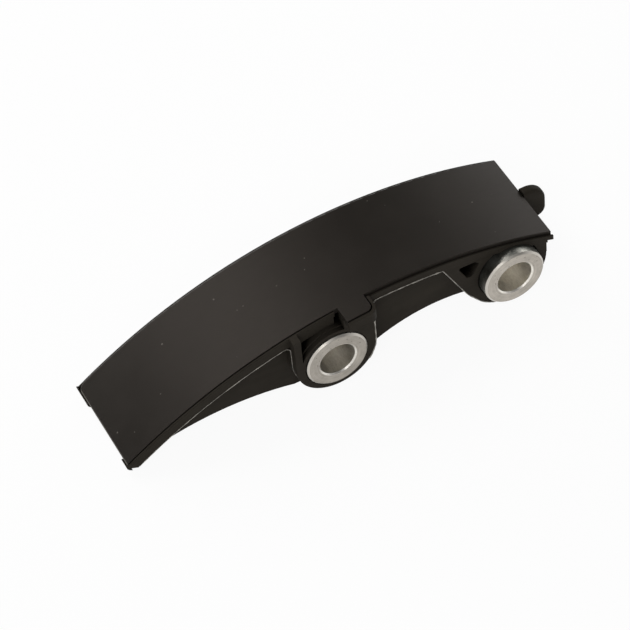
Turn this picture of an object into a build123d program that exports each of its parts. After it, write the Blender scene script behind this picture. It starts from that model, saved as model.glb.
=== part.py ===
from build123d import *
import math
import os

# Timing chain guide: a moulded carrier under a curved slide lining, with two
# metal bushes for the bolts. Sizes in mm. X runs from the middle bush to the
# end bush, Z points up to the chain, and Y goes from the near side to the far
# side. The origin is on the middle bush axis, half way across the lining.

# Bushes and bolts
bush_spacing = 41.9
bush_radius = 7.0
bore_radius = 4.05
bush_near_proud = 2.4
bush_far_proud = 0.6
bush_cover = 0.32
bush_rim_chamfer = 0.4
bore_mouth_chamfer = 0.3
bush_fit = 0.03
seat_mouth = 0.25

# Slide lining
slide_radius = 108.3
slide_centre_x = 13.8
slide_left_x = -47.8
lining_corner_radius = 1.6
lining_end_radius = 0.5
slide_overhang = 10.4
lining_width = 23.6
lining_thickness = 1.3
lining_seat_gap = 0.02

# Tab of the lining, and the block that carries it
tab_left_x = 2.3
tab_right_x = 8.3
tab_reach = 4.2
tab_corner_radius = 1.3
block_height = 1.35
block_wall = 0.7
block_gap = 0.3
pocket_length = 2.6
block_corner_radius = 2.0
block_edge_radius = 0.4

# Flange of the carrier under the lining
lip_gap = 0.2
lip_thickness = 0.4
lip_drop = 0.15
lip_low_drop = 0.75
groove_depth = 0.35
flange_thickness = 1.25
top_wall = 2.4
left_overrun = 0.3
right_overrun = 0.3
foot_cut_drop = 0.85
foot_cut_angle = 60.0
foot_cut_width = 2.0
tip_thickness = 0.6
ear_reach = 0.42
ear_gap = 0.12
ear_top_drop = 0.4
ear_low_drop = 1.05
ear_root_drop = 1.9
near_ear_width = 2.9
far_ear_width = 5.9
foot_z = -7.9

# Web and walls
web_setback = 2.5
web_thickness = 2.5
wall = 2.2
rib = 1.8
left_arch_x = -25.0
left_arch_z = -65.3
left_arch_radius = 59.8
right_arch_offset = 16.7
right_arch_z = -36.5
right_arch_radius = 33.8
saddle_z = -8.3
tube_wall = 1.6
pocket_left_x = -34.0
rib_pitch = 6.0
rib_low_z = -9.0
rib_high_z = 12.0

# Middle boss
boss_half_width = 9.2
boss_rise = 1.0
boss_proud = 0.5
ring_wall = 1.2
collar_setback = 1.0
collar_width = 0.4
arm_width = 1.6
slot_left_x = -6.7
slot_end_height = 2.4
slot_top_drop = 3.3
slot_corner_radius = 0.5
strip_end_x = 2.0

# End boss, with X counted from the end bush
end_boss_setback = 0.5
end_wall_offset = 9.3
slant_top = (-15.4, 8.9)
slant_bottom = (-10.0, -1.9)
toe = (-7.8, -0.8)
toe_radius = 2.5
window_points = ((-11.8, 7.1), (-9.8, 3.1), (-8.6, 2.9), (-6.7, 6.0), (-7.8, 6.9))
window_corner = 0.45

# Nose past the end of the lining
nose_reach = 5.5
nose_top_z = 6.2
nose_bottom_z = -2.9
nose_near_y = -0.6
nose_far_y = 1.8
nose_top_radius = 4.2
nose_toe_radius = 2.4
nose_edge_radius = 0.8

seat_radius = slide_radius - lining_thickness
bush_to_centre = seat_radius - bush_cover - bush_radius
slide_centre_z = -math.sqrt(bush_to_centre ** 2 - (bush_spacing - slide_centre_x) ** 2)
slide_crown_z = slide_centre_z + slide_radius
slide_right_x = bush_spacing + slide_overhang
end_wall_x = bush_spacing + end_wall_offset
right_arch_x = bush_spacing - right_arch_offset
flange_radius = seat_radius - flange_thickness
near_y = -lining_width / 2 - lip_gap - lip_thickness
far_y = -near_y
web_y = near_y + web_setback
floor_y = web_y + web_thickness
bush_near_y = near_y - bush_near_proud
bush_far_y = far_y + bush_far_proud
boss_y = bush_near_y + boss_proud
collar_y = boss_y + collar_setback
end_boss_y = near_y + end_boss_setback
tab_near_y = -lining_width / 2 - tab_reach
block_near_y = tab_near_y - block_gap - block_wall
lip_radius = slide_radius - lip_drop
reach = 4 * slide_radius
overcut = 1.0


def arc_z(x, radius, centre_x, centre_z):
    return centre_z + math.sqrt(radius ** 2 - (x - centre_x) ** 2)


def slide_z(x):
    return arc_z(x, slide_radius, slide_centre_x, slide_centre_z)


def at(x, z, shape):
    return Pos(x, z) * shape


def slab(sketch, from_y, to_y):
    # Thickens a profile, drawn in X and Z, from one Y to another.
    return extrude(Plane.XZ.offset(-from_y) * sketch, amount=from_y - to_y)


def bar(left, right, low, high):
    # Upright rectangle between two X and two Z values.
    return at((left + right) / 2, (low + high) / 2, Rectangle(right - left, high - low))


def slide_disc(radius):
    return at(slide_centre_x, slide_centre_z, Circle(radius))


def at_left_end(run, drop, shape):
    # Counts run outwards and drop inwards from the left edge of the slide face.
    turn = math.degrees(math.asin((slide_left_x - slide_centre_x) / slide_radius))
    corner = Pos(slide_left_x, slide_z(slide_left_x)) * Rot(0, 0, -turn)
    return corner * Pos(-run, -drop) * shape


def beyond_left(run):
    # Everything past the left end, cut square to the slide face.
    return at_left_end(run + reach / 2, 0, Rectangle(reach, reach))


def beyond_right(x):
    return bar(x, x + reach, -reach, reach)


def shell_band(outer, inner, left_run, right_x):
    # Strip between two arcs that share the slide face's centre.
    return slide_disc(outer) - slide_disc(inner) - beyond_left(left_run) - beyond_right(right_x)


def lower_half():
    # Taken off the strips, which are only the upper part of their circles.
    return bar(-reach, reach, -reach, slide_centre_z)


def end_boss_outline():
    swell = make_hull((Circle(boss_half_width) + at(*toe, Circle(toe_radius))).edges())
    shoulder = Polygon(slant_top, slant_bottom, (0, slant_bottom[1]), (0, slant_top[1]), align=None)
    wall_side = bar(0, end_wall_offset, 0, slant_top[1])
    return at(bush_spacing, 0, swell + shoulder + wall_side)


def lower_cut(left_extra, right_extra):
    # What is scooped out below the web, with the arches grown for the walls.
    left = at(left_arch_x, left_arch_z, Circle(left_arch_radius + left_extra))
    right = at(right_arch_x, right_arch_z, Circle(right_arch_radius + right_extra))
    saddle = bar(left_arch_x, right_arch_x, -reach, saddle_z + left_extra)
    tail = bar(bush_spacing + toe[0], reach, -reach, 0)
    base = bar(-reach, reach, -reach, foot_z + left_extra)
    return left + right + saddle + tail + base


def tray_outline():
    outline = slide_disc(seat_radius) - beyond_left(left_overrun) - beyond_right(end_wall_x)
    outline -= lower_cut(0, 0)
    outline += end_boss_outline() & slide_disc(seat_radius)
    outline += at(0, boss_rise, Circle(boss_half_width))
    return outline


def tray_pockets():
    # Hollows opened from the far side, with a rib lattice left standing.
    hollow = slide_disc(seat_radius - top_wall) - beyond_right(end_wall_x - wall)
    hollow -= lower_cut(wall, wall)
    hollow -= bar(-reach, pocket_left_x, -reach, reach)
    for x in (0, bush_spacing):
        hollow -= at(x, 0, Circle(bush_radius + tube_wall))
    hollow -= zigzag(-boss_half_width, pocket_left_x)
    return hollow - zigzag(boss_half_width, bush_spacing + slant_bottom[0])


def zigzag(from_x, to_x):
    # Ribs that lean to and fro from a boss outwards.
    legs = max(1, round(abs(to_x - from_x) / rib_pitch))
    step = (to_x - from_x) / legs
    heights = (rib_high_z, rib_low_z)
    ribs = Sketch()
    for leg in range(legs):
        middle_x = from_x + (leg + 0.5) * step
        rise = heights[(leg + 1) % 2] - heights[leg % 2]
        turn = math.degrees(math.atan2(rise, step))
        middle = Pos(middle_x, (rib_high_z + rib_low_z) / 2) * Rot(0, 0, turn)
        ribs += middle * Rectangle(math.hypot(step, rise), rib)
    return ribs


def build_tray():
    tray = slab(tray_outline(), web_y, far_y)
    return tray - slab(tray_pockets(), floor_y, far_y)


def build_flange():
    # Edge strips past the web, with the lips that hold the lining sideways.
    right_x = slide_right_x + right_overrun
    beyond_wall = bar(end_wall_x, right_x, -reach, reach) & slide_disc(seat_radius - tip_thickness)
    strip = shell_band(seat_radius, flange_radius, left_overrun, right_x) - beyond_wall
    flange = slab(strip - lower_half(), near_y, far_y)
    high = shell_band(lip_radius, flange_radius, left_overrun, strip_end_x)
    low = shell_band(slide_radius - lip_low_drop, flange_radius, left_overrun, right_x) - beyond_wall
    flange += slab(high - lower_half(), near_y, near_y + lip_thickness)
    flange += slab(low - lower_half(), near_y, near_y + lip_thickness)
    flange += slab(low - lower_half(), far_y - lip_thickness, far_y)
    groove = shell_band(seat_radius, seat_radius - groove_depth, reach / 2, reach / 2)
    flange -= slab(groove - lower_half(), near_y + lip_thickness, -lining_width / 2)
    return flange


def build_ears():
    # Small tapered lugs that stand out at both corners of the left end.
    outline = Polygon(
        (-ear_gap, -ear_top_drop),
        (-ear_reach, -ear_top_drop),
        (-ear_reach, -ear_low_drop),
        (-ear_gap, -ear_root_drop),
        align=None,
    )
    ear = at_left_end(0, 0, outline)
    near = slab(ear, near_y, near_y + near_ear_width)
    return near + slab(ear, far_y - far_ear_width, far_y)


def left_corner():
    # Everything below a slanted line at the near corner of the left end.
    below = Rot(0, 0, -foot_cut_angle) * Pos(0, -reach / 2) * Rectangle(reach, reach)
    return at_left_end(0, foot_cut_drop, below)


def middle_boss_outline(top_radius):
    cup = at(0, boss_rise, Circle(boss_half_width))
    arms = bar(-boss_half_width, boss_half_width, boss_rise, slide_crown_z)
    return (cup + arms) & slide_disc(top_radius)


def ring_collar():
    return Circle(bush_radius + ring_wall + collar_width)


def boss_slot():
    # Gap between the ring round the bush and the flange above it.
    gap = bar(-boss_half_width + arm_width, tab_left_x, 0, reach)
    front = slab(gap - Circle(bush_radius + ring_wall), boss_y, collar_y)
    return front + slab(gap - ring_collar(), collar_y, near_y)


def slot_hole():
    # The part of the gap that goes on through the web.
    top = slide_radius - slot_top_drop
    low = arc_z(slot_left_x, top, slide_centre_x, slide_centre_z) - slot_end_height
    hole = bar(slot_left_x, strip_end_x, low, reach) & slide_disc(top)
    hole = fillet(hole.vertices().group_by(Axis.X)[0], slot_corner_radius)
    hole += bar(strip_end_x - overcut, tab_left_x, low, reach) & slide_disc(seat_radius)
    return hole - ring_collar()


def build_middle_boss():
    boss = slab(middle_boss_outline(seat_radius), boss_y, web_y)
    boss += slab(middle_boss_outline(lip_radius), boss_y, near_y)
    return boss - boss_slot()


def tab_plan(left, right, near, corner):
    # Outline of the tab seen from above, rounded at its outer right corner.
    plan = bar(left, right, near, -lining_width / 2 + overcut)
    outer = plan.vertices().group_by(Axis.Y)[0].sort_by(Axis.X)
    return fillet(outer[-1], corner)


def upright(plan, top_radius):
    # Raises a plan view up to an arc under the slide face.
    return extrude(plan, amount=slide_crown_z) & slab(slide_disc(top_radius), -reach, reach)


def build_tab_block():
    plan = tab_plan(tab_left_x, boss_half_width, block_near_y, block_corner_radius)
    plan -= bar(tab_left_x, boss_half_width, near_y, 0)
    block = upright(plan, lip_radius)
    low = slide_z(tab_left_x) - lining_thickness - block_height
    block -= slab(bar(-reach, reach, -reach, low), block_near_y - overcut, near_y)
    front = block.edges().filter_by(Axis.Z).sort_by(Axis.X)[0]
    block = fillet(front, block_edge_radius)
    hollow = bar(tab_left_x - overcut, tab_left_x + pocket_length, -reach, reach)
    return block - slab(hollow & slide_disc(seat_radius), tab_near_y - block_gap, near_y)


def tab_seat():
    # Room for the tab inside its block, open towards the slot.
    right = tab_right_x + block_gap
    corner = tab_corner_radius + block_gap
    plan = tab_plan(tab_left_x - overcut, right, tab_near_y - block_gap, corner)
    plan -= bar(tab_left_x - overcut, right, -lining_width / 2, 0)
    return upright(plan, reach) - slab(slide_disc(seat_radius), -reach, reach)


def build_nose():
    root_x = end_wall_x - wall
    tip_x = slide_right_x + nose_reach
    face = bar(root_x, tip_x, nose_bottom_z, nose_top_z)
    corners = face.vertices().group_by(Axis.X)[-1].sort_by(Axis.Y)
    face = fillet(corners[-1], nose_top_radius)
    corners = face.vertices().group_by(Axis.X)[-1].sort_by(Axis.Y)
    face = fillet(corners[0], nose_toe_radius)
    under_lining = bar(root_x - overcut, slide_right_x + lip_gap, 0, reach) - slide_disc(seat_radius)
    face -= under_lining
    nose = slab(face, nose_near_y, nose_far_y)
    rims = nose.edges().filter_by(Plane.XZ).filter_by(GeomType.CIRCLE)
    rims = rims.filter_by(lambda edge: edge.radius < slide_radius / 2)
    return fillet(rims, nose_edge_radius)


def bush_seat(x, mouth_y):
    # Hole for a bush, opened slightly at its near mouth.
    hole = slab(at(x, 0, Circle(bush_radius + bush_fit)), boss_y, far_y)
    wide = Plane.XZ.offset(-mouth_y) * at(x, 0, Circle(bush_radius + bush_fit + seat_mouth))
    return hole + extrude(wide, amount=-seat_mouth, taper=45)


def build_carrier():
    carrier = build_tray() + build_flange() + build_middle_boss() + build_tab_block()
    carrier += slab(end_boss_outline() & slide_disc(seat_radius), end_boss_y, web_y)
    carrier += build_nose()
    carrier -= slab(left_corner(), near_y, near_y + foot_cut_width)
    carrier += build_ears()
    carrier -= tab_seat()
    carrier -= slab(slot_hole(), near_y, floor_y)
    window = fillet(Polygon(*window_points, align=None).vertices(), window_corner)
    carrier -= slab(at(bush_spacing, 0, window), near_y, floor_y)
    for x, mouth_y in ((0, boss_y), (bush_spacing, end_boss_y)):
        carrier -= bush_seat(x, mouth_y)
    return carrier


def build_lining():
    face = shell_band(slide_radius, seat_radius + lining_seat_gap, 0, slide_right_x)
    face -= lower_half()
    lining = slab(face, -lining_width / 2, lining_width / 2)
    corner = lining.edges().sort_by(Axis.X)[:4].sort_by(Axis.Y)[-1]
    lining = fillet(corner, lining_corner_radius)
    end = lining.edges().filter_by(Axis.Y).group_by(Axis.X)[0].sort_by(Axis.Z)[-1]
    lining = fillet(end, lining_end_radius)
    plan = tab_plan(tab_left_x, tab_right_x, tab_near_y, tab_corner_radius)
    tab = upright(plan, slide_radius)
    tab -= slab(slide_disc(seat_radius + lining_seat_gap), -reach, reach)
    return lining + tab


def build_bush(x):
    sleeve = slab(at(x, 0, Circle(bush_radius)), bush_near_y, bush_far_y)
    sleeve = chamfer(sleeve.edges(), bush_rim_chamfer)
    bore = slab(at(x, 0, Circle(bore_radius)), bush_near_y, bush_far_y)
    sleeve -= bore
    mouths = sleeve.edges().filter_by(GeomType.CIRCLE)
    mouths = mouths.filter_by(lambda edge: edge.radius < bush_radius - bush_rim_chamfer - overcut)
    return chamfer(mouths, bore_mouth_chamfer)


pieces = {
    "carrier": build_carrier(),
    "slide_lining": build_lining(),
    "middle_bush": build_bush(0),
    "end_bush": build_bush(bush_spacing),
}

os.makedirs("parts", exist_ok=True)
for name, piece in pieces.items():
    solids = piece.solids()
    shape = solids[0] if len(solids) == 1 else piece
    shape.label = name
    export_step(shape, f"parts/{name}.step")
    print(name, len(solids), round(piece.volume, 1))
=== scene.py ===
import bpy
import math
from mathutils import Matrix, Vector


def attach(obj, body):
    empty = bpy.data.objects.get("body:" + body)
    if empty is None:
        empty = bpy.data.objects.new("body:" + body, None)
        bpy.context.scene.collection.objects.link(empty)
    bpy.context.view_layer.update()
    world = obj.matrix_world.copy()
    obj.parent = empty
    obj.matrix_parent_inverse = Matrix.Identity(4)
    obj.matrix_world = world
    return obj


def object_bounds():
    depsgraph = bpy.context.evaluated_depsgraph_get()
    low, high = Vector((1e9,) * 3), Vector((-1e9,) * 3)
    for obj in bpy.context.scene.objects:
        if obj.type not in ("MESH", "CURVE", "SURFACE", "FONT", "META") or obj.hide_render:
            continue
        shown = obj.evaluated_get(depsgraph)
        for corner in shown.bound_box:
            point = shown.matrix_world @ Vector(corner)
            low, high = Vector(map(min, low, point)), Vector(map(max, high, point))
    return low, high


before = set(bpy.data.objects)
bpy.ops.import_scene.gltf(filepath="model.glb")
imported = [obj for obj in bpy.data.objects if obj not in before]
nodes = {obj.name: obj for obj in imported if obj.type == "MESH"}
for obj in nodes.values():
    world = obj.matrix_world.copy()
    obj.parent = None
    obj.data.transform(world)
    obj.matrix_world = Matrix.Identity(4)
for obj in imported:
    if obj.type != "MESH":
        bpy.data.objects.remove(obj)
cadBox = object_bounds()
print("frame loaded", sorted(nodes))

# small helpers for node trees


def newMaterial(name):
    material = bpy.data.materials.new(name)
    material.use_nodes = True
    return material, material.node_tree, material.node_tree.nodes["Principled BSDF"]


def addNode(tree, kind, **settings):
    node = tree.nodes.new(kind)
    for key, value in settings.items():
        if hasattr(node, key):
            setattr(node, key, value)
        else:
            node.inputs[key].default_value = value
    return node


def join(tree, fromSocket, toSocket):
    tree.links.new(fromSocket, toSocket)


def noiseAt(tree, vector, scale, detail, roughness=0.55):
    node = tree.nodes.new("ShaderNodeTexNoise")
    node.inputs["Scale"].default_value = scale
    node.inputs["Detail"].default_value = detail
    node.inputs["Roughness"].default_value = roughness
    join(tree, vector, node.inputs["Vector"])
    return node.outputs["Fac"]


def remap(tree, value, fromLow, fromHigh, toLow=0, toHigh=1, smooth=False):
    node = tree.nodes.new("ShaderNodeMapRange")
    node.interpolation_type = "SMOOTHSTEP" if smooth else "LINEAR"
    limits = {"From Min": fromLow, "From Max": fromHigh, "To Min": toLow, "To Max": toHigh}
    for key, number in limits.items():
        node.inputs[key].default_value = number
    join(tree, value, node.inputs["Value"])
    return node.outputs["Result"]


def calc(tree, operation, first, second=None):
    node = tree.nodes.new("ShaderNodeMath")
    node.operation = operation
    for socket, value in zip(node.inputs, (first, second)):
        if value is None:
            continue
        if isinstance(value, (int, float)):
            socket.default_value = value
        else:
            join(tree, value, socket)
    return node.outputs[0]


def average(tree, first, second):
    return calc(tree, "MULTIPLY", calc(tree, "ADD", first, second), 0.5)


def blendColour(tree, factor, dark, light):
    node = tree.nodes.new("ShaderNodeMix")
    node.data_type = "RGBA"
    join(tree, factor, node.inputs["Factor"])
    for socket, colour in ((node.inputs["A"], dark), (node.inputs["B"], light)):
        if isinstance(colour, (tuple, list)):
            socket.default_value = (*colour, 1)
        else:
            join(tree, colour, socket)
    return node.outputs["Result"]


def stretched(tree, scale=(1, 1, 1), place=(0, 0, 0)):
    coord = tree.nodes.new("ShaderNodeTexCoord")
    mapping = tree.nodes.new("ShaderNodeMapping")
    mapping.inputs["Scale"].default_value = scale
    mapping.inputs["Location"].default_value = place
    join(tree, coord.outputs["Object"], mapping.inputs["Vector"])
    return mapping.outputs["Vector"]


# dots in a share of the cells, each of its own size up to the largest
def speckles(tree, vector, scale, size, share):
    cells = tree.nodes.new("ShaderNodeTexVoronoi")
    cells.inputs["Scale"].default_value = scale
    join(tree, vector, cells.inputs["Vector"])
    parts = tree.nodes.new("ShaderNodeSeparateColor")
    join(tree, cells.outputs["Color"], parts.inputs[0])
    chosen = calc(tree, "LESS_THAN", parts.outputs["Red"], share)
    reach = calc(tree, "MULTIPLY", parts.outputs["Green"], size)
    dot = calc(tree, "LESS_THAN", cells.outputs["Distance"], reach)
    return calc(tree, "MULTIPLY", chosen, dot)


def softEdge(tree, radius, samples=6):
    return addNode(tree, "ShaderNodeBevel", samples=samples, Radius=radius).outputs["Normal"]


def bumped(tree, height, strength, depth, under=None):
    node = addNode(tree, "ShaderNodeBump", Strength=strength, Distance=depth)
    join(tree, height, node.inputs["Height"])
    if under is not None:
        join(tree, under, node.inputs["Normal"])
    return node.outputs["Normal"]


def setSheen(shader, piece):
    shader.inputs["Specular IOR Level"].default_value = piece["gloss"]
    shader.inputs["Specular Tint"].default_value = (*piece["sheen"], 1)


# lining: smooth satin plastic, brownish black, with fine rubbed lines and dust

lining = {
    "dark": (0.0115, 0.0098, 0.0080),
    "light": (0.0180, 0.0156, 0.0130),
    "cloud": (45, 3),  # scale and detail of the noise, as for lines and grain
    "cloudSpan": (0.3, 0.7),
    "lines": (320, 5),
    "lineStretch": (1, 14, 1),
    "lineBump": (0.05, 0.00004),  # strength, and depth in metres
    "grain": (3200, 3),
    "grainBump": (0.12, 0.00003),
    "rubSpan": (0.35, 0.65),
    "rough": (0.36, 0.48),
    "gloss": 0.175,
    "sheen": (1.0, 0.86, 0.76),
    "edge": 0.00015,
    "dust": (0.10, 0.092, 0.08),
    "dustSpecks": (760, 0.17, 0.11),  # scale, largest size, share of the cells
    "endPoint": (-0.0478, 0, -0.0066),  # on the face of the left end
    "endDirection": (-0.8226, 0, -0.5687),
    "endHighlightSpan": (-0.0005, -0.0002),  # from the end face: where the painted highlight begins and is full
    "endHighlightTone": (0.20, 0.187, 0.162),
}


def makeLiningPlastic():
    material, tree, shader = newMaterial("satinLining")
    plain = stretched(tree)
    cloud = noiseAt(tree, plain, *lining["cloud"])
    lines = noiseAt(tree, stretched(tree, lining["lineStretch"]), *lining["lines"])
    grain = noiseAt(tree, plain, *lining["grain"])
    tint = remap(tree, cloud, *lining["cloudSpan"])
    skin = blendColour(tree, tint, lining["dark"], lining["light"])
    # painted highlight: the left end is made pale beside its face, standing in for the light its
    # rounded edge catches
    fromEnd = stretched(tree, place=[-part for part in lining["endPoint"]])
    outward = addNode(tree, "ShaderNodeVectorMath", operation="DOT_PRODUCT")
    outward.inputs[1].default_value = lining["endDirection"]
    join(tree, fromEnd, outward.inputs[0])
    endHighlight = remap(tree, outward.outputs["Value"], *lining["endHighlightSpan"], smooth=True)
    skin = blendColour(tree, calc(tree, "MULTIPLY", endHighlight, grain), skin, lining["endHighlightTone"])
    dust = speckles(tree, plain, *lining["dustSpecks"])
    join(tree, blendColour(tree, dust, skin, lining["dust"]), shader.inputs["Base Color"])
    rough = remap(tree, average(tree, cloud, lines), *lining["rubSpan"], *lining["rough"])
    join(tree, rough, shader.inputs["Roughness"])
    setSheen(shader, lining)
    rubbed = bumped(tree, lines, *lining["lineBump"], softEdge(tree, lining["edge"]))
    join(tree, bumped(tree, grain, *lining["grainBump"], rubbed), shader.inputs["Normal"])
    return material


# carrier: fibre filled plastic, a little rougher and greyer, with painted shade darkening its deep
# recesses

carrier = {
    "dark": (0.0215, 0.0185, 0.0146),
    "light": (0.0335, 0.0292, 0.0236),
    "flow": (1, 1, 3),  # how the fibres are drawn out
    "cloud": (60, 4),
    "cloudSpan": (0.3, 0.7),
    "fibre": (900, 4),
    "grain": (2600, 3),
    "grainBump": (0.25, 0.00004),
    "fibreSpan": (0.35, 0.65),
    "rough": (0.46, 0.62),
    "gloss": 0.03,
    "sheen": (1.0, 0.84, 0.70),
    "edge": 0.00014,
    "paintedShade": (0.0012, 0.0010, 0.0007),
    "paintedShadeReach": 0.007,  # how far off a wall still encloses a place
    "paintedShadeSamples": 8,
    "paintedShadeSpan": (0.22, 0.5),
    "recessRough": 0.4,
}


def makeCarrierPlastic():
    material, tree, shader = newMaterial("mouldedCarrier")
    flow = stretched(tree, carrier["flow"])
    cloud = noiseAt(tree, flow, *carrier["cloud"])
    fibre = noiseAt(tree, flow, *carrier["fibre"])
    grain = noiseAt(tree, stretched(tree), *carrier["grain"])
    tint = remap(tree, cloud, *carrier["cloudSpan"])
    plastic = blendColour(tree, tint, carrier["dark"], carrier["light"])
    reach, samples = carrier["paintedShadeReach"], carrier["paintedShadeSamples"]
    # painted shade: where walls enclose a place the colour darkens towards near black and the
    # roughness rises
    recess = addNode(tree, "ShaderNodeAmbientOcclusion", samples=samples, Distance=reach)
    unshaded = remap(tree, recess.outputs["AO"], *carrier["paintedShadeSpan"], smooth=True)
    join(tree, blendColour(tree, unshaded, carrier["paintedShade"], plastic), shader.inputs["Base Color"])
    rough = remap(tree, average(tree, cloud, fibre), *carrier["fibreSpan"], *carrier["rough"])
    enclosed = calc(tree, "SUBTRACT", 1.0, unshaded)
    matt = calc(tree, "MULTIPLY", enclosed, carrier["recessRough"])
    join(tree, calc(tree, "ADD", rough, matt), shader.inputs["Roughness"])
    setSheen(shader, carrier)
    skin = calc(tree, "ADD", fibre, grain)
    soft = softEdge(tree, carrier["edge"])
    join(tree, bumped(tree, skin, *carrier["grainBump"], soft), shader.inputs["Normal"])
    return material


# bushes: turned aluminium, rings on the end faces and drawn lines along the sides

bush = {
    "dark": (0.265, 0.244, 0.213),
    "light": (0.45, 0.415, 0.367),
    "tintSpan": (0.38, 0.62),
    "ringPitch": 0.00022,
    "ringDetail": 3,
    "cloud": (300, 5, 0.65),  # scale, detail and roughness of the noise
    "cloudSpan": (0.3, 0.7),
    "pit": (0.17, 0.157, 0.135),
    "pits": (2100, 0.34, 0.16),  # scale, largest size, share of the cells
    "sideDark": (0.19, 0.195, 0.178),
    "sideLight": (0.31, 0.30, 0.27),
    "drawn": (2800, 3, 0.7),
    "drawnStretch": (1, 0.4, 1),
    "drawnGain": 2.4,
    "sideSpan": (0.2, 1.0),
    "rootPlane": -0.0122,  # painted shade: the side is darkest here, where it enters the boss, and grows lighter from here
    "rimPlane": -0.0146,
    "faceTurn": (0.4, 0.8),  # how far a surface turns to the axis to take the rings
    "rimTurn": (0.1, 0.4),
    "chamfer": (0.56, 0.53, 0.48),
    "chamferTurn": 0.707,
    "chamferSpan": (0.08, 0.14),
    "boreRadius": 0.0042,
    "boreEdge": 0.0003,
    "boreSpan": (0.4, 0.6),
    "boreMarks": 0.35,
    "rough": (0.30, 0.50),
    "latheBump": (0.45, 0.00003),
    # painted light: the end bush is the same metal made brighter all over, and each bore has its
    # own tone, lighter in the end bush, standing in for how the light falls on each
    "middle_bush": {"axisX": 0.0, "brightness": 1.0, "boreTone": (0.79, 0.765, 0.71)},
    "end_bush": {"axisX": 0.0419, "brightness": 1.22, "boreTone": (0.92, 0.89, 0.82)},
}


def brightened(colour, factor):
    return [part * factor for part in colour]


def makeBushMetal(name):
    axisX, brightness = bush[name]["axisX"], bush[name]["brightness"]
    toAxis = (-axisX, 0, 0)
    material, tree, shader = newMaterial("turnedMetal_" + name)
    centred = stretched(tree, place=toAxis)
    split = tree.nodes.new("ShaderNodeSeparateXYZ")
    join(tree, centred, split.inputs[0])
    across = calc(tree, "MULTIPLY", split.outputs["X"], split.outputs["X"])
    upward = calc(tree, "MULTIPLY", split.outputs["Z"], split.outputs["Z"])
    radius = calc(tree, "SQRT", calc(tree, "ADD", across, upward))
    turned = tree.nodes.new("ShaderNodeCombineXYZ")
    join(tree, radius, turned.inputs["X"])
    rings = noiseAt(tree, turned.outputs[0], 1 / bush["ringPitch"], bush["ringDetail"])
    drawn = noiseAt(tree, stretched(tree, bush["drawnStretch"], toAxis), *bush["drawn"])
    cloud = noiseAt(tree, centred, *bush["cloud"])
    shape = tree.nodes.new("ShaderNodeNewGeometry")
    facing = tree.nodes.new("ShaderNodeSeparateXYZ")
    join(tree, shape.outputs["Normal"], facing.inputs[0])
    alongAxis = calc(tree, "ABSOLUTE", facing.outputs["Y"])
    marks = tree.nodes.new("ShaderNodeMix")
    join(tree, remap(tree, alongAxis, *bush["faceTurn"]), marks.inputs["Factor"])
    join(tree, drawn, marks.inputs["A"])
    join(tree, rings, marks.inputs["B"])
    # end faces
    tint = remap(tree, average(tree, cloud, marks.outputs["Result"]), *bush["tintSpan"])
    light = brightened(bush["light"], brightness)
    face = blendColour(tree, tint, brightened(bush["dark"], brightness), light)
    pitted = speckles(tree, centred, *bush["pits"])
    face = blendColour(tree, pitted, face, brightened(bush["pit"], brightness))
    # chamfers: painted highlight, a lighter tone standing in for the light they catch
    fromChamfer = calc(tree, "SUBTRACT", alongAxis, bush["chamferTurn"])
    onChamfer = remap(tree, calc(tree, "ABSOLUTE", fromChamfer), *bush["chamferSpan"], 1, 0)
    face = blendColour(tree, onChamfer, face, bush["chamfer"])
    # sides: drawn marks, with painted shade darkening them towards the boss
    depth = remap(tree, split.outputs["Y"], bush["rootPlane"], bush["rimPlane"])
    mottle = calc(tree, "MULTIPLY", calc(tree, "SUBTRACT", drawn, 0.5), bush["drawnGain"])
    grainAndShade = remap(tree, calc(tree, "ADD", depth, mottle), *bush["sideSpan"])
    sideDark, sideLight = (brightened(bush[key], brightness) for key in ("sideDark", "sideLight"))
    side = blendColour(tree, grainAndShade, sideDark, sideLight)
    outer = blendColour(tree, remap(tree, alongAxis, *bush["rimTurn"]), side, face)
    # bore
    wear = remap(tree, drawn, *bush["boreSpan"], 0, bush["boreMarks"])
    bore = blendColour(tree, wear, bush[name]["boreTone"], light)
    outside = remap(tree, radius, bush["boreRadius"], bush["boreRadius"] + bush["boreEdge"])
    join(tree, blendColour(tree, outside, bore, outer), shader.inputs["Base Color"])
    join(tree, remap(tree, cloud, *bush["cloudSpan"], *bush["rough"]), shader.inputs["Roughness"])
    shader.inputs["Metallic"].default_value = 1.0
    height = calc(tree, "ADD", marks.outputs["Result"], cloud)
    join(tree, bumped(tree, height, *bush["latheBump"]), shader.inputs["Normal"])
    return material


def dress(node, material):
    mesh = nodes[node].data
    mesh.materials.clear()
    mesh.materials.append(material)


dress("slide_lining", makeLiningPlastic())
dress("carrier", makeCarrierPlastic())
for bushName in ("middle_bush", "end_bush"):
    dress(bushName, makeBushMetal(bushName))
print("materials on the frame's nodes")

# parting flash: the fine ridges left along the near edges of the moulding, given a pale tone as
# painted highlight of those edges

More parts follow.
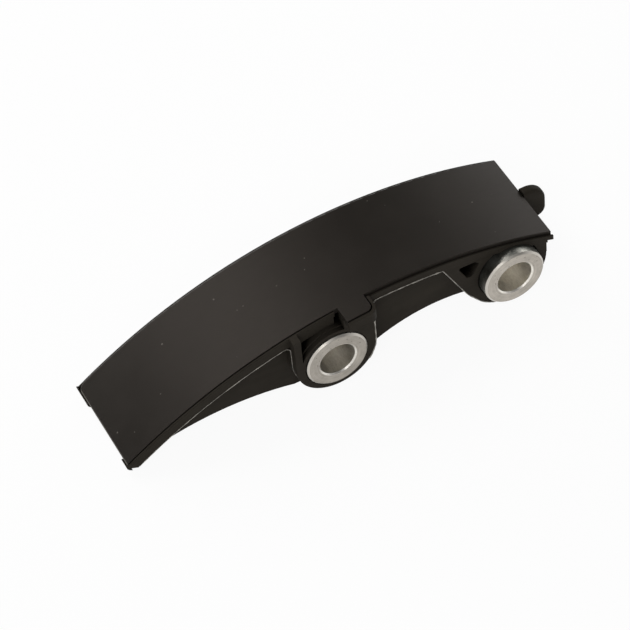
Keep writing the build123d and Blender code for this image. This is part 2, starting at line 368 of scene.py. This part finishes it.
flash = {
    "slideCentre": (0.0138, -0.09564),  # of the lining's arc, x and z
    "slideRadius": 0.1083,
    "edgeDrop": 0.00255,  # from the arc down to the edge that carries the flash
    "middleBoss": (0.0, 0.001),
    "endBoss": (0.0419, 0.0),
    "bossRadius": 0.0092,
    "nearPlane": -0.0124,
    "bossPlane": -0.0143,
    "endPlane": -0.0119,
    "leftRun": (-0.0452, -0.0102, 24),  # along the slide: from x, to x, points
    "leftCorner": (-0.0092, 0.0066),
    "leftTurn": (180, 292, 12),  # round the boss: from and to degrees, points
    "rightStart": (0.0094, 0.0078),
    "rightRun": (0.0104, 0.0258, 12),
    "slant": ((0.0266, 0.0087), (0.0319, -0.0019), (0.0322, -0.0024), (0.0346, -0.0056)),
    "endTurn": (222, 262, 6),
    "rimWall": ((0.0092, 0.0092), (0.0092, 0.0062)),
    "rimTurn": (0, -38, 6),
    "thickness": {"flashLeft": 0.00008, "flashRight": 0.00012, "flashRim": 0.00015},
    "sides": 6,
    "cornerRadius": 0.0012,
    "cornerPoints": 4,
    "step": 0.0004,
    "unevenness": 0.55,
    "rag": (700, 2),
    "ragGain": 4.0,
    "dark": (0.10, 0.093, 0.08),
    "light": (0.46, 0.43, 0.38),
    "cloud": (420, 3),
    "toneSpan": (0.35, 0.65),
    "roughSpan": (0.3, 0.7),
    "rough": (0.35, 0.55),
    "gloss": 0.5,
}


def spread(start, stop, count):
    return [start + (stop - start) * index / (count - 1) for index in range(count)]


def atPlane(plane, points):
    return [(x, plane, z) for x, z in points]


def slideEdge(fromX, toX, count):
    radius = flash["slideRadius"] - flash["edgeDrop"]
    centreX, centreZ = flash["slideCentre"]
    rise = [(x, math.sqrt(radius ** 2 - (x - centreX) ** 2)) for x in spread(fromX, toX, count)]
    return atPlane(flash["nearPlane"], [(x, centreZ + z) for x, z in rise])


def bossEdge(centre, plane, fromAngle, toAngle, count):
    radius = flash["bossRadius"]
    angles = spread(math.radians(fromAngle), math.radians(toAngle), count)
    points = [(centre[0] + radius * math.cos(a), centre[1] + radius * math.sin(a)) for a in angles]
    return atPlane(plane, points)


def flashPaths():
    near, front, back = flash["nearPlane"], flash["bossPlane"], flash["endPlane"]
    left = slideEdge(*flash["leftRun"]) + atPlane(near, [flash["leftCorner"]])
    left += bossEdge(flash["middleBoss"], near, *flash["leftTurn"])
    right = atPlane(near, [flash["rightStart"]]) + slideEdge(*flash["rightRun"])
    right += atPlane(back, flash["slant"])
    right += bossEdge(flash["endBoss"], back, *flash["endTurn"])
    rim = atPlane(front, flash["rimWall"])
    rim += bossEdge(flash["middleBoss"], front, *flash["rimTurn"])
    return {"flashLeft": left, "flashRight": right, "flashRim": rim}


# rounds a path's corners and sweeps an uneven ridge along it
def ridgeTree():
    tree = bpy.data.node_groups.new("flashRidge", "GeometryNodeTree")
    tree.interface.new_socket("Geometry", in_out="INPUT", socket_type="NodeSocketGeometry")
    for label in ("Thickness", "Corner", "Step", "Unevenness"):
        tree.interface.new_socket(label, in_out="INPUT", socket_type="NodeSocketFloat")
    tree.interface.new_socket("Finish", in_out="INPUT", socket_type="NodeSocketMaterial")
    tree.interface.new_socket("Geometry", in_out="OUTPUT", socket_type="NodeSocketGeometry")
    start = tree.nodes.new("NodeGroupInput")
    end = tree.nodes.new("NodeGroupOutput")
    rounded = addNode(tree, "GeometryNodeFilletCurve", mode="POLY", Count=flash["cornerPoints"])
    join(tree, start.outputs["Geometry"], rounded.inputs["Curve"])
    join(tree, start.outputs["Corner"], rounded.inputs["Radius"])
    evenly = addNode(tree, "GeometryNodeResampleCurve", mode="LENGTH")
    join(tree, rounded.outputs["Curve"], evenly.inputs["Curve"])
    join(tree, start.outputs["Step"], evenly.inputs["Length"])
    place = tree.nodes.new("GeometryNodeInputPosition")
    ragged = noiseAt(tree, place.outputs[0], *flash["rag"])
    swing = calc(tree, "SUBTRACT", ragged, 0.5)
    swing = calc(tree, "MULTIPLY", swing, start.outputs["Unevenness"])
    factor = calc(tree, "ADD", calc(tree, "MULTIPLY", swing, flash["ragGain"]), 1.0)
    girth = calc(tree, "MULTIPLY", factor, start.outputs["Thickness"])
    profile = addNode(tree, "GeometryNodeCurvePrimitiveCircle", mode="RADIUS")
    profile.inputs["Resolution"].default_value = flash["sides"]
    profile.inputs["Radius"].default_value = 1.0
    sweep = tree.nodes.new("GeometryNodeCurveToMesh")
    sweep.inputs["Fill Caps"].default_value = True
    join(tree, evenly.outputs["Curve"], sweep.inputs["Curve"])
    join(tree, profile.outputs["Curve"], sweep.inputs["Profile Curve"])
    join(tree, girth, sweep.inputs["Scale"])
    real = tree.nodes.new("GeometryNodeRealizeInstances")
    join(tree, sweep.outputs["Mesh"], real.inputs["Geometry"])
    finish = tree.nodes.new("GeometryNodeSetMaterial")
    join(tree, real.outputs["Geometry"], finish.inputs["Geometry"])
    join(tree, start.outputs["Finish"], finish.inputs["Material"])
    join(tree, finish.outputs["Geometry"], end.inputs["Geometry"])
    return tree


def socketKey(tree, label):
    for item in tree.interface.items_tree:
        if item.name == label and item.in_out == "INPUT":
            return item.identifier


def plainMesh(source, name):
    bpy.context.view_layer.update()
    depsgraph = bpy.context.evaluated_depsgraph_get()
    mesh = bpy.data.meshes.new_from_object(source.evaluated_get(depsgraph))
    mesh.name = name
    piece = bpy.data.objects.new(name, mesh)
    bpy.context.scene.collection.objects.link(piece)
    bpy.data.objects.remove(source)
    return piece


def makePath(name, points):
    curve = bpy.data.curves.new(name, "CURVE")
    curve.dimensions = "3D"
    spline = curve.splines.new("POLY")
    spline.points.add(len(points) - 1)
    for point, place in zip(spline.points, points):
        point.co = (*place, 1)
    path = bpy.data.objects.new(name, curve)
    bpy.context.scene.collection.objects.link(path)
    return path


def makeFlash(material):
    tree = ridgeTree()
    for name, points in flashPaths().items():
        path = makePath(name + "Path", points)
        modifier = path.modifiers.new("ridge", "NODES")
        modifier.node_group = tree
        modifier[socketKey(tree, "Thickness")] = flash["thickness"][name]
        modifier[socketKey(tree, "Corner")] = flash["cornerRadius"]
        modifier[socketKey(tree, "Step")] = flash["step"]
        modifier[socketKey(tree, "Unevenness")] = flash["unevenness"]
        modifier[socketKey(tree, "Finish")] = material
        ridge = plainMesh(path, name)
        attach(ridge, "root")
        print("ridge", name, len(ridge.data.polygons), "faces")


def makeFlashPlastic():
    material, tree, shader = newMaterial("flashPlastic")
    cloud = noiseAt(tree, stretched(tree), *flash["cloud"])
    # painted highlight: the pale tone stands in for the light caught along the moulding's edges
    tone = remap(tree, cloud, *flash["toneSpan"])
    join(tree, blendColour(tree, tone, flash["dark"], flash["light"]), shader.inputs["Base Color"])
    rough = remap(tree, cloud, *flash["roughSpan"], *flash["rough"])
    join(tree, rough, shader.inputs["Roughness"])
    shader.inputs["Specular IOR Level"].default_value = flash["gloss"]
    return material


makeFlash(makeFlashPlastic())

# stage: pale floor, sky and lamps

studio = {
    "floorSize": 3.0,
    "floorGrey": 0.82,
    "shadowShare": 0.07,  # how much of the shadow the white floor shows
    "skyLow": 1.0,
    "skyHigh": 0.16,
    "skyTurn": 0.45,
}


# 1 for the rays that show the background, 0 for those that light the object
def backgroundRays(tree):
    rays = tree.nodes.new("ShaderNodeLightPath")
    seen = calc(tree, "ADD", rays.outputs["Is Camera Ray"], rays.outputs["Is Glossy Ray"])
    seen = calc(tree, "ADD", seen, rays.outputs["Is Transmission Ray"])
    return calc(tree, "MINIMUM", seen, 1.0)


def makeFloor():
    half = studio["floorSize"] / 2
    level = cadBox[0].z
    mesh = bpy.data.meshes.new("floor")
    around = ((-half, -half), (half, -half), (half, half), (-half, half))
    mesh.from_pydata([(x, y, level) for x, y in around], [], [(0, 1, 2, 3)])
    floor = bpy.data.objects.new("floor", mesh)
    bpy.context.scene.collection.objects.link(floor)
    material = bpy.data.materials.new("paleFloor")
    material.use_nodes = True
    tree = material.node_tree
    tree.nodes.clear()
    output = tree.nodes.new("ShaderNodeOutputMaterial")
    grey = studio["floorGrey"]
    plain = addNode(tree, "ShaderNodeBsdfDiffuse", Color=(grey, grey, grey, 1))
    white = addNode(tree, "ShaderNodeBsdfDiffuse", Color=(1, 1, 1, 1))
    glow = addNode(tree, "ShaderNodeEmission", Color=(1, 1, 1, 1), Strength=1.0)
    paper = addNode(tree, "ShaderNodeMixShader", Fac=studio["shadowShare"])
    join(tree, glow.outputs[0], paper.inputs[1])
    join(tree, white.outputs[0], paper.inputs[2])
    choose = tree.nodes.new("ShaderNodeMixShader")
    join(tree, backgroundRays(tree), choose.inputs[0])
    join(tree, plain.outputs[0], choose.inputs[1])
    join(tree, paper.outputs[0], choose.inputs[2])
    join(tree, choose.outputs[0], output.inputs["Surface"])
    mesh.materials.append(material)


def makeSky():
    world = bpy.data.worlds.new("studioSky")
    bpy.context.scene.world = world
    world.use_nodes = True
    tree = world.node_tree
    tree.nodes.clear()
    output = tree.nodes.new("ShaderNodeOutputWorld")
    coord = tree.nodes.new("ShaderNodeTexCoord")
    split = tree.nodes.new("ShaderNodeSeparateXYZ")
    join(tree, coord.outputs["Generated"], split.inputs[0])
    low, high = studio["skyLow"], studio["skyHigh"]
    grade = remap(tree, split.outputs["Z"], 0, studio["skyTurn"], low, high, smooth=True)
    sky = addNode(tree, "ShaderNodeBackground", Color=(1, 1, 1, 1))
    join(tree, grade, sky.inputs["Strength"])
    join(tree, sky.outputs[0], output.inputs["Surface"])


lamps = (
    {"name": "keySoftbox", "place": (-0.42, -0.55, 0.62), "size": 0.45, "power": 3.3},
    {"name": "backSoftbox", "place": (-0.17, 0.44, 0.54), "size": 0.40, "power": 1.75},
    {"name": "sideSoftbox", "place": (0.62, 0.38, 0.26), "size": 0.40, "power": 1.15},
    {"name": "farSoftbox", "place": (-0.25, 0.80, 0.16), "size": 0.45, "power": 2.6},
)


def makeLamps():
    for lamp in lamps:
        data = bpy.data.lights.new(lamp["name"], "AREA")
        data.shape = "SQUARE"
        data.size = lamp["size"]
        data.energy = lamp["power"]
        light = bpy.data.objects.new(lamp["name"], data)
        light.location = lamp["place"]
        light.rotation_mode = "QUATERNION"
        light.rotation_quaternion = (-Vector(lamp["place"])).to_track_quat("-Z", "Y")
        bpy.context.scene.collection.objects.link(light)


makeFloor()
makeSky()
makeLamps()
print("stage and lamps set")

# camera, at the photograph's angle

camera = {
    "aim": (0.00164, -0.00143, -0.00056),
    "distance": 0.63427,
    "elevation": 50.37,
    "azimuth": 22.90,
    "roll": -6.53,
    "lens": 174.68,
    "sensorWidth": 36.0,
    "clipStart": 0.01,
    "clipEnd": 20.0,
}


def makeCamera():
    data = bpy.data.cameras.new("photoCamera")
    data.lens = camera["lens"]
    data.sensor_width = camera["sensorWidth"]
    data.clip_start = camera["clipStart"]
    data.clip_end = camera["clipEnd"]
    rig = bpy.data.objects.new("photoCamera", data)
    tilt = math.radians(camera["elevation"])
    turn = math.radians(camera["azimuth"])
    level = math.cos(tilt)
    back = Vector((-math.sin(turn) * level, -math.cos(turn) * level, math.sin(tilt)))
    rig.location = Vector(camera["aim"]) + back * camera["distance"]
    rig.rotation_mode = "QUATERNION"
    roll = Matrix.Rotation(math.radians(camera["roll"]), 4, "Z").to_quaternion()
    rig.rotation_quaternion = (-back).to_track_quat("-Z", "Y") @ roll
    bpy.context.scene.collection.objects.link(rig)
    bpy.context.scene.camera = rig


makeCamera()
bpy.context.scene.view_settings.view_transform = "Standard"
print("camera set")
